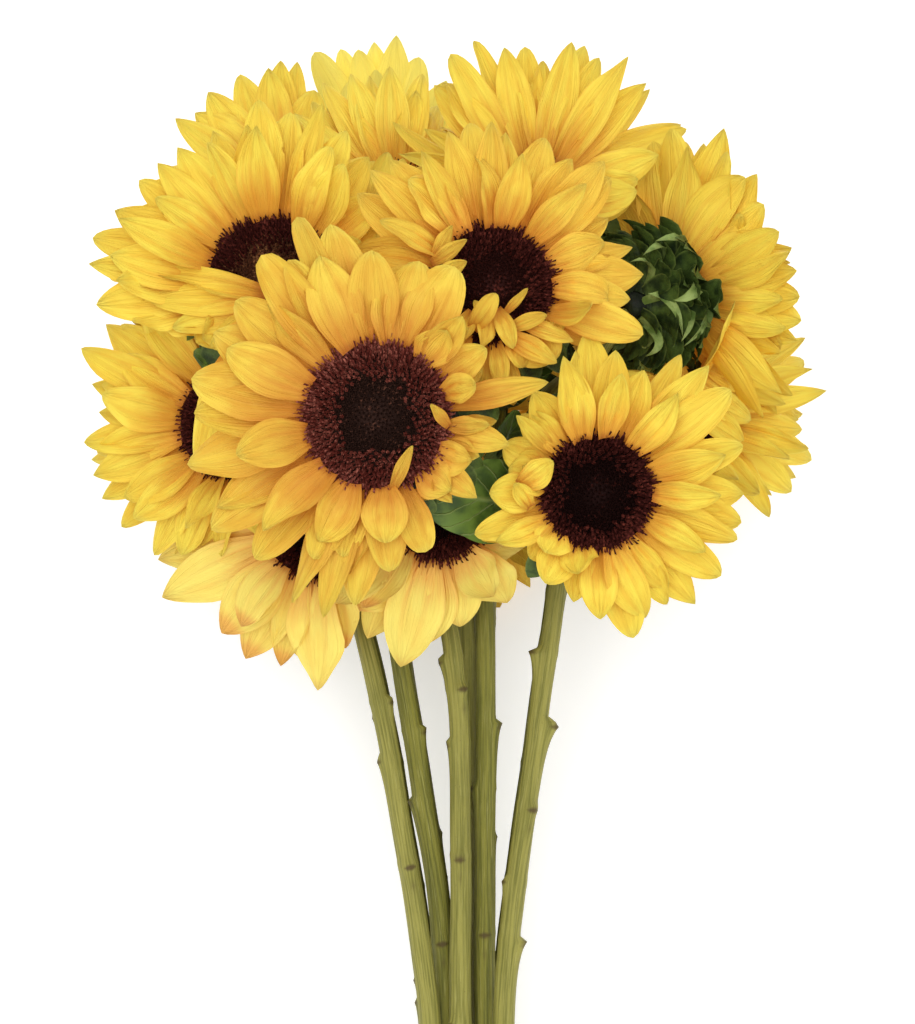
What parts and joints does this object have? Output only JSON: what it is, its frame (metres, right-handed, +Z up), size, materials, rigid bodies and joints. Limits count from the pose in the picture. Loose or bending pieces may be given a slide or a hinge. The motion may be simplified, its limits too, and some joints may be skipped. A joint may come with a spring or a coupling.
{
  "type": "cut sunflower bunch",
  "caption": "Loose bunch of cut sunflowers lying on its back: a domed crown of large yellow blooms with dark centres on bare green stems.",
  "frame": {"origin": "middle of the bunch's outline as seen from above, on the ground it lies on", "axes": "+Y from the cut stem ends towards the crown, +Z up, out of the side of the bunch that shows, +X to the right of the bunch seen from above with the blooms at the top"},
  "size_m": [0.3236, 0.5003, 0.1915],
  "materials": {
    "petals": "soft matt yellow ray petals, golden orange towards their bases, with fine grooves along them",
    "discs": "velvety disc florets, maroon at the edge and nearly black in the middle",
    "calyxes": "matt dark green pointed bracts behind the petals",
    "stems": "matt olive green stalk with leaf scars, brown streaks and a paler cut end",
    "leaves": "matt mid green leaf blades with paler veins"
  },
  "bodies": {
    "root": {"bloom_01": "petals", "bloom_02": "petals", "bloom_03": "petals", "bloom_04": "petals", "bloom_05": "petals", "bloom_06": "petals", "bloom_07": "petals", "bloom_08": "petals", "bloom_09": "petals", "bloom_10": "petals", "bloom_11": "petals", "bloom_12": "petals", "bloom_13": "petals", "bloom_14": "petals", "bloom_15": "petals", "bloom_16": "petals", "stem_01": "stems", "stem_02": "stems", "stem_03": "stems", "stem_04": "stems", "stem_05": "stems", "stem_06": "stems", "stem_07": "stems", "stem_08": "stems", "stem_09": "stems", "stem_10": "stems", "stem_11": "stems", "stem_12": "stems", "stem_13": "stems", "stem_14": "stems", "stem_15": "stems", "stem_16": "stems", "leaf_01": "leaves", "leaf_02": "leaves", "leaf_03": "leaves", "leaf_04": "leaves", "leaf_05": "leaves", "leaf_06": "leaves", "leaf_07": "leaves", "leaf_08": "leaves"}
  },
  "joints": []
}
